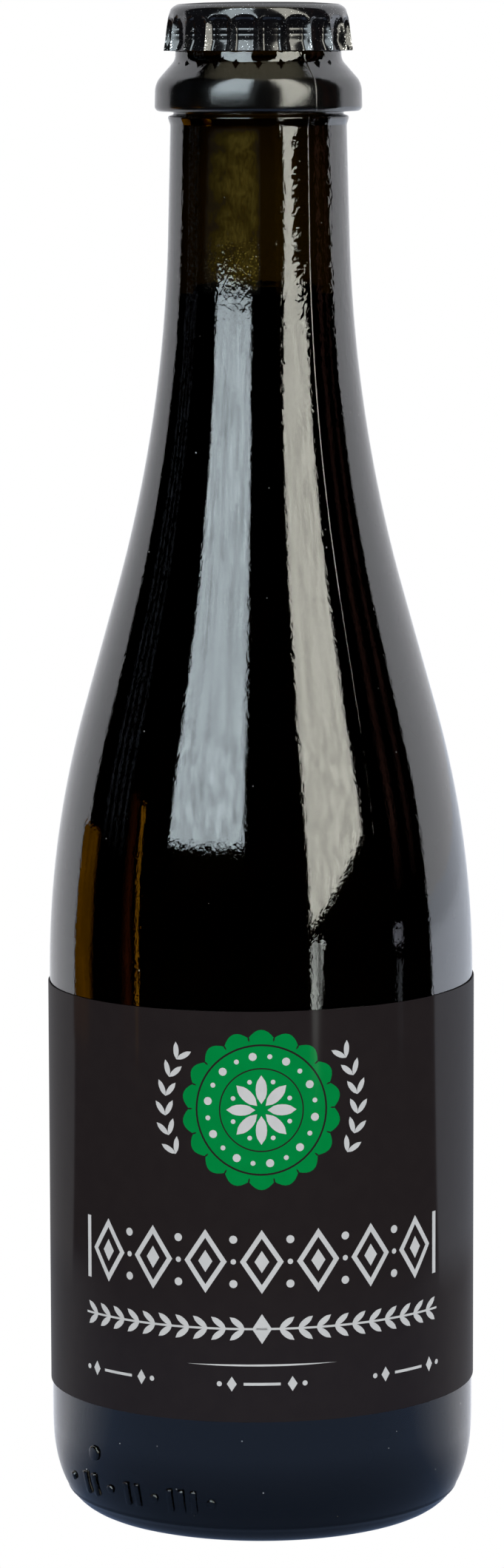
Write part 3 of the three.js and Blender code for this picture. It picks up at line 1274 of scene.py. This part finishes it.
    def draw_sprigs(self, y: float) -> None:
        """Draws a curved sprig of leaves on each side of the medallion.

        Args:
            y: The height of the medallion's middle.
        """
        reach = 15.0
        for side in (-1, 1):
            for k in range(6):
                turn = math.radians(62 + 11.5 * k)
                along = math.degrees(math.atan2(math.sin(turn), side * math.cos(turn)))
                x, at = side * reach * math.sin(turn), y - reach * math.cos(turn)
                self.leaf_pair(x, at, 2.7, 0.85, along, 32)

    def draw_frieze(self, y: float) -> None:
        """Draws the tall band of open lozenges and dots across the label.

        Args:
            y: The height of its middle.
        """
        pitch, count = 8.6, 7
        for k in range(count):
            x = (k - (count - 1) / 2) * pitch
            self.lozenge(Ink.GREY, x, y, 6.6, 9.8, 0.75)
            self.lozenge(Ink.GREY, x, y, 2.2, 3.4)
            if k < count - 1:
                for step in (-1, 0, 1):
                    self.disc(Ink.GREY, x + pitch / 2, y + step * 3.4, 0.62 if step else 0.42, 14)
        for side in (-1, 1):
            self.bar(Ink.GREY, side * (pitch * count / 2 + 0.2), y, 0.8, 9.6)

    def draw_garland(self, y: float) -> None:
        """Draws the lower band: leaves in pairs along a stem, running out from the middle.

        Args:
            y: The stem's height.
        """
        self.bar(Ink.GREY, 0, y, 62.0, 0.32)
        self.lozenge(Ink.GREY, 0, y, 3.0, 4.6)
        for side in (-1, 1):
            for k in range(10):
                self.leaf_pair(side * (2.6 + 2.85 * k), y, 2.9, 0.95, 90 - side * 90, 38)

    def draw_foot(self, rule_y: float, y: float) -> None:
        """Draws the tapered rule and the three small groups below it.

        Args:
            rule_y: The rule's height.
            y: The height of the groups.
        """
        self.leaf(Ink.GREY, -11.5, rule_y, 23.0, 0.3, 0)
        for centre in (-24.0, 0.0, 24.5):
            self.bar(Ink.GREY, centre, y, 5.6, 0.42)
            for side in (-1, 1):
                self.lozenge(Ink.GREY, centre + side * 4.6, y, 1.5, 2.3)
                self.disc(Ink.GREY, centre + side * 6.5, y, 0.4)

    def draw_back(self, y: float) -> None:
        """Draws a small plain ornament on each side of the gap at the back.

        Args:
            y: The height of their middles.
        """
        for centre in (-72.0, 72.0):
            self.lozenge(Ink.GREY, centre, y, 8.0, 12.0, 0.6)
            self.lozenge(Ink.GREEN, centre, y, 4.2, 6.4)
            for step in (-1, 1):
                self.bar(Ink.GREY, centre, y + step * 9.0, 12.0, 0.35)

    def wrap(self, flat: Piece, lift: float) -> None:
        """Cuts a flat drawing into narrow strips, gives it thickness and wraps it on the paper.

        Args:
            flat: The drawing, in the plane of X and Y.
            lift: How far its face stands out of the paper, in millimetres.
        """
        limit = max(abs(vert.co.x) for vert in flat.data.vertices) / MM
        cuts = int(limit / self.strip) + 1
        with editing(flat):
            for k in range(-cuts, cuts + 1):
                grab_all()
                bpy.ops.mesh.bisect(plane_co=(k * self.strip * MM, 0, 0), plane_no=(1, 0, 0))
        apply_modifier(flat, "SOLIDIFY", thickness=self.ink * MM, offset=-1.0)
        for vert in flat.data.vertices:
            x, y, out = vert.co
            angle = x / (self.radius * MM)
            vert.co = on_round((self.radius + lift) * MM + out, angle, y + self.rise * MM * angle)
        flat.data.update()

    def build(self) -> None:
        """Models the paper and every ink."""
        charcoal = PrintedPaper("charcoal_paper", *self.charcoal)
        hand_over(self.paper(), charcoal.material(), 40, Slot.PAPER, "label")
        self.draw_medallion(68.2)
        self.draw_sprigs(68.2)
        self.draw_frieze(45.0)
        self.draw_garland(34.7)
        self.draw_foot(29.1, 26.2)
        self.draw_back(52.0)
        for ink, name, colours, lift in (
            (Ink.GREEN, "green_ink", self.green, 0.01),
            (Ink.GREY, "light_grey_ink", self.light_grey, 0.018),
            (Ink.DARK, "charcoal_ink", self.charcoal, 0.014),
        ):
            drawing = join(self.shapes[ink], f"label_print_{ink.value}")
            self.wrap(drawing, lift)
            hand_over(drawing, PrintedPaper(name, *colours).material(), 40, Slot.PAPER)


@dataclass
class Dust:
    """A few specks of pale dust on the bare glass."""

    count: int = 120
    seed: int = 7
    sizes: Point = (0.04, 0.10)
    zones: Sequence[Point] = ((3.5, 18), (88, 212), (150, 228))

    def build(self, glass: GlassBottle) -> Piece:
        """Scatters flattened specks over the bottle.

        Args:
            glass: The bottle, for its outer radius.

        Returns:
            The finished piece.
        """
        draw = random.Random(self.seed)
        specks = []
        bpy.ops.mesh.primitive_ico_sphere_add(subdivisions=1, radius=1)
        first = named("dust_speck")
        while len(specks) < self.count:
            z = draw.choice([draw.uniform(*zone) for zone in self.zones])
            angle = draw.uniform(-math.pi, math.pi)
            size = draw.uniform(*self.sizes)
            if z > glass.cap_bottom - 2:
                continue
            speck = first.copy()
            speck.data = first.data.copy()
            bpy.context.scene.collection.objects.link(speck)
            speck.location = on_round(glass.outer_radius(z), angle, z) * MM
            speck.scale = Vector((size, size * 0.5, size * draw.uniform(0.8, 1.8))) * MM
            speck.rotation_euler = (0, draw.uniform(-0.8, 0.8), angle)
            specks.append(speck)
        bpy.data.objects.remove(first)
        return hand_over(join(specks, "dust_specks"), PaleDust().material(), 60, Slot.GLASS)


# Surroundings


@dataclass(frozen=True)
class Card:
    """A lit card beside the bottle: corners (azimuth, height) at a distance from the bottle's axis.

    The corners are the lower inner, lower outer, upper outer and upper inner one. The softness is that of
    the inner, outer and lower edge, as a share of the card. Mottle and streaks make its light uneven.
    """

    name: str
    distance: float
    corners: Sequence[Point]
    light: Triple
    soft: Triple
    mottle: float = 0.0
    streaks: float = 0.0
    mottle_mm: float = 38.0
    streak_mm: float = 16.0
    streak_squash: float = 0.06

    def material(self) -> Finish:
        """Builds the card's light, softened towards its edges and a little uneven.

        Returns:
            The material.
        """
        sheet = new_sheet(self.name)
        across, up, _ = sheet.split(sheet.add("ShaderNodeTexCoord").outputs["UV"])
        inner, outer, low = self.soft
        strength = sheet.times(
            sheet.fade(across, 0.0, inner), sheet.fade(across, 1.0, 1.0 - outer), sheet.fade(up, 0.0, low)
        )
        clouds = ((self.mottle_mm, 1.0, self.mottle), (self.streak_mm, self.streak_squash, self.streaks))
        for size, tall, amount in clouds:
            if amount:
                cloud = sheet.noise(size, 3.0, tall)
                strength = sheet.times(strength, sheet.fade(cloud, 0.3, 0.7, (1 - amount, 1 + amount)))
        return sheet.close(sheet.glow((*self.light, 1), strength))

    def build(self) -> None:
        """Makes the card as a fan of strips that follows the arc, seen in the glass alone."""
        low_in, low_out, top_out, top_in = (Vector(corner) for corner in self.corners)
        bpy.ops.mesh.primitive_grid_add(x_subdivisions=12, y_subdivisions=4, size=2)
        card = named(self.name)
        for vert in card.data.vertices:
            across, up = vert.co.x / 2 + 0.5, vert.co.y / 2 + 0.5
            azimuth, height = low_in.lerp(low_out, across).lerp(top_in.lerp(top_out, across), up)
            vert.co = on_round(self.distance, math.radians(azimuth), height) * MM
        dress(card, self.material())
        card.visible_camera = card.visible_diffuse = card.visible_shadow = False


@dataclass
class Studio:
    """The camera, the soft light, the pale floor and what the glass reflects.

    The light on the reflected floor depends on the distance from the bottle, in metres, and on the
    direction, with painted shade near the bottle's foot. The white background stands behind the bottle, from
    an angle on each side.
    """

    camera_place: Triple = (0.0, -848.6, 225.06)
    tilt: float = 7.516
    yaw: float = 0.088
    roll: float = 0.18
    lens: float = 127.15
    background_from: Point = (26.5, 14.0)
    background_soft: float = 0.012
    back_white: Triple = (0.93, 0.94, 0.985)
    right_white: Triple = (0.88, 0.94, 1.06)
    back_by_x: Ramp = (-0.9, -0.05, (0.78, 1.0))
    back_by_y: Ramp = (0.242, 1.0, (2.0, 0.93))
    overhead: Triple = (0.75, 0.70, 0.50)
    overhead_from: Point = (0.80, 0.93)
    front_floor: Triple = (0.25, 0.35, 0.57)
    # Painted shade: the front of the reflected floor is dimmer near the bottle's foot, for the bottle's own
    # shadow on it.
    front_foot_shade: Ramp = (0.03, 0.085, (0.5, 1.0))
    front_end: Ramp = (0.15, 0.24, (1.0, 0.0))
    back_floor: Triple = (1.0, 1.03, 1.13)
    # Painted shade: the back of the reflected floor is dimmer near the bottle's foot, for the bottle's own
    # shadow on it.
    back_foot_shade: Ramp = (0.03, 0.065, (0.40, 0.95))
    back_end: Ramp = (0.1, 0.19, (1.0, 0.85))
    near_by_y: Point = (-0.25, 0.4)
    far_from: Point = (0.185, 0.22)
    far_right: Ramp = (0.35, 0.95, (1.0, 1.35))
    far_right_until: Point = (1.25, 0.95)
    far_tint_by_x: Point = (0.0, 0.3)
    fill_places: Sequence[Triple] = ((-0.75, -0.8, 0.75), (0.8, -0.75, 0.8))
    fill_power: float = 6.0
    fill_size: float = 0.7

    def cards(self) -> list[Card]:
        """The two large soft lights in front and the smaller things that the glass reflects.

        Returns:
            The cards.
        """
        left = ((-8.9, 277), (-53.2, 246), (-50, 2600), (-7.0, 2600))
        right = ((26.0, 70), (60.5, 277), (52.0, 2600), (20.5, 2600))
        amber = ((-101, -20), (-118, -20), (-118, 120), (-101, 132))
        brown = ((-70, -20), (-79, -20), (-80, 190), (-74, 190))
        ember = ((-66.5, -20), (-68.3, -20), (-71.4, 188), (-69.5, 188))
        post = ((26.5, -10), (30.5, -10), (33.5, 78), (26.0, 78))
        far_post = ((74.5, 58), (80.5, 58), (80.5, 74), (74.5, 74))
        far_streak = ((75.0, -60), (80.5, -60), (79.5, 46), (76.5, 46))
        cards = [
            Card("soft_light_left", 1050, left, (7.2, 8.3, 8.8), (0.05, 0.02, 0.006), 0.42, 0.12),
            Card("soft_light_right", 1200, right, (8.7, 8.6, 7.6), (0.03, 0.05, 0.006), 0.36, 0.12),
            Card("warm_card", 450, amber, (0.45, 0.18, 0.0), (0.2, 0.1, 0.02), 0.3, 0.3),
            Card("brown_card", 450, brown, (0.16, 0.035, 0.006), (0.3, 0.5, 0.02), 0.3, 0.4),
            Card("ember_card", 450, ember, (2.0, 0.9, 0.04), (0.3, 0.3, 0.02), 0.4),
            Card("light_post", 450, post, (5.0, 5.3, 5.0), (0.05, 0.05, 0.02), 0.2, 0.9),
            Card("far_post", 450, far_post, (1.25, 1.3, 1.5), (0.1, 0.1, 0.1), 0.4, 0.3),
            Card("far_streak", 450, far_streak, (0.55, 0.6, 0.66), (0.2, 0.2, 0.02), 0.3, 0.9),
        ]
        for name, start, end, light in (
            ("brown_near", 77.0, 84.0, (0.16, 0.07, 0.055)),
            ("brown_far", 90.0, 95.0, (0.12, 0.055, 0.045)),
        ):
            corners = ((start, 100), (end, 100), (end, 900), (start, 900))
            cards.append(Card(name, 600, corners, light, (0.45, 0.45, 0.1), 0.3, 0.3))
        for k in range(4):
            start, end = -84.0 - 5 * k, -85.2 - 5 * k
            corners = ((start, 150), (end, 150), (end, 900), (start, 900))
            cards.append(Card(f"slit_{k}", 900, corners, (0.18, 0.21, 0.26), (0.3, 0.3, 0.1), 0.4))
        return cards

    def camera(self) -> None:
        """Sets up the camera at the photograph's angle."""
        bpy.ops.object.camera_add(location=Vector(self.camera_place) * MM)
        camera = bpy.context.active_object
        turns = ((self.yaw, "Z"), (90 - self.tilt, "X"), (-self.roll, "Z"))
        yaw, tilt, roll = (Matrix.Rotation(math.radians(degrees), 4, axis) for degrees, axis in turns)
        camera.rotation_euler = (yaw @ tilt @ roll).to_euler()
        camera.data.lens = self.lens
        camera.data.clip_end = 50
        bpy.context.scene.camera = camera

    def floor(self) -> None:
        """Lays a plain white floor, without a shadow as in the photograph."""
        bpy.ops.mesh.primitive_plane_add(size=5.0)
        floor = named("floor")
        sheet = new_sheet("white_floor")
        dress(floor, sheet.close(sheet.glow(grey(1.0))))
        floor.visible_glossy = False

    def background(self, sheet: NodeSheet, x: Socket, y: Socket) -> tuple[Socket, Socket]:
        """The white background in a direction.

        Args:
            sheet: The sheet to add to.
            x: The direction's X.
            y: The direction's Y.

        Returns:
            Whether the background is there, as 0 or 1, and how bright it is.
        """
        left, right = (math.tan(math.radians(degrees)) for degrees in self.background_from)
        edge = sheet.math("MAXIMUM", sheet.times(x, right), sheet.times(x, -left))
        there = sheet.fade(sheet.math("SUBTRACT", y, edge), 0.0, self.background_soft)
        return there, sheet.times(sheet.fade(x, *self.back_by_x), sheet.fade(y, *self.back_by_y))

    def seen_floor(self) -> None:
        """Lays the floor that the glass reflects: a glowing sheet with painted shade near the bottle's foot,
        bluish in front and paler behind.
        """
        bpy.ops.mesh.primitive_circle_add(vertices=96, radius=2.4, fill_type="NGON", location=(0, 0, -0.0005))
        table = named("reflected_floor")
        sheet = new_sheet("reflected_floor")
        place = sheet.add("ShaderNodeTexCoord").outputs["Object"]
        distance = sheet.add("ShaderNodeVectorMath", {0: place}, operation="LENGTH").outputs["Value"]
        unit = sheet.add("ShaderNodeVectorMath", {0: place}, operation="NORMALIZE").outputs["Vector"]
        x, y, _ = sheet.split(unit)
        there, brightness = self.background(sheet, x, y)
        far = sheet.fade(distance, *self.far_from)
        rise = sheet.blend(sheet.fade(distance, *self.far_right_until), 1.0, sheet.fade(x, *self.far_right))
        # Painted shade on the reflected floor behind the bottle, near its foot.
        back_shade = sheet.times(sheet.fade(distance, *self.back_foot_shade), sheet.fade(distance, *self.back_end))
        tint = sheet.mix(sheet.fade(x, *self.far_tint_by_x), (*self.back_white, 1), (*self.right_white, 1))
        # Painted shade on the reflected floor in front of the bottle, near its foot.
        front = sheet.times(sheet.fade(distance, *self.front_foot_shade), sheet.fade(distance, *self.front_end))
        back = sheet.blend(far, back_shade, sheet.times(brightness, rise))
        mixed = sheet.add("ShaderNodeMixShader", {
            0: sheet.blend(far, sheet.fade(y, *self.near_by_y), there),
            1: sheet.glow((*self.front_floor, 1), front),
            2: sheet.glow(sheet.mix(far, (*self.back_floor, 1), tint), back),
        })
        dress(table, sheet.close(mixed.outputs["Shader"]))
        table.visible_camera = table.visible_diffuse = False
        table.visible_shadow = table.visible_transmission = False

    def world(self) -> None:
        """White surroundings behind the bottle and dark ones in front, seen only in the glass."""
        world = bpy.data.worlds.new("studio")
        bpy.context.scene.world = world
        sheet = NodeSheet(world, "ShaderNodeOutputWorld")
        x, y, z = sheet.split(sheet.add("ShaderNodeTexCoord").outputs["Generated"])
        there, brightness = self.background(sheet, x, y)
        front = sheet.mix(sheet.fade(z, *self.overhead_from), grey(0.0), (*self.overhead, 1))
        values = {0: self.back_white, "Scale": brightness}
        back = sheet.add("ShaderNodeVectorMath", values, operation="SCALE").outputs["Vector"]
        seen = sheet.add("ShaderNodeLightPath").outputs["Is Camera Ray"]
        colour = sheet.mix(seen, sheet.mix(there, front, back), grey(1.0))
        sheet.close(sheet.add("ShaderNodeBackground", {"Color": colour}).outputs["Background"])

    def fill_lights(self) -> None:
        """Two broad soft lights for the paper and the floor, which the glass doesn't show."""
        for name, place in zip(("fill_left", "fill_right"), self.fill_places):
            bpy.ops.object.light_add(type="AREA", location=place)
            light = bpy.context.active_object
            light.name = name
            light.data.energy = self.fill_power
            light.data.size = self.fill_size
            light.rotation_euler = (Vector((0, 0, 0.08)) - Vector(place)).to_track_quat("-Z", "Y").to_euler()
            light.visible_camera = light.visible_glossy = light.visible_transmission = False

    def build(self) -> None:
        """Builds the surroundings."""
        self.camera()
        self.floor()
        self.seen_floor()
        self.world()
        self.fill_lights()
        for card in self.cards():
            card.build()
        view = bpy.context.scene.view_settings
        view.view_transform = "Standard"
        view.look = "None"


def main() -> None:
    """Builds the bottle piece by piece, and then what stands round it."""
    logging.basicConfig(level=logging.INFO, format="%(name)s: %(message)s")
    deselect_all()
    glass = GlassBottle()
    glass.build()
    glass.stout(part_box("beer")[1].z / MM)
    CrownCap().build()
    WrapLabel(radius=-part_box("label")[0].y / MM).build()
    Dust().build(glass)
    Studio().build()
    deselect_all()


if __name__ == "__main__":
    main()
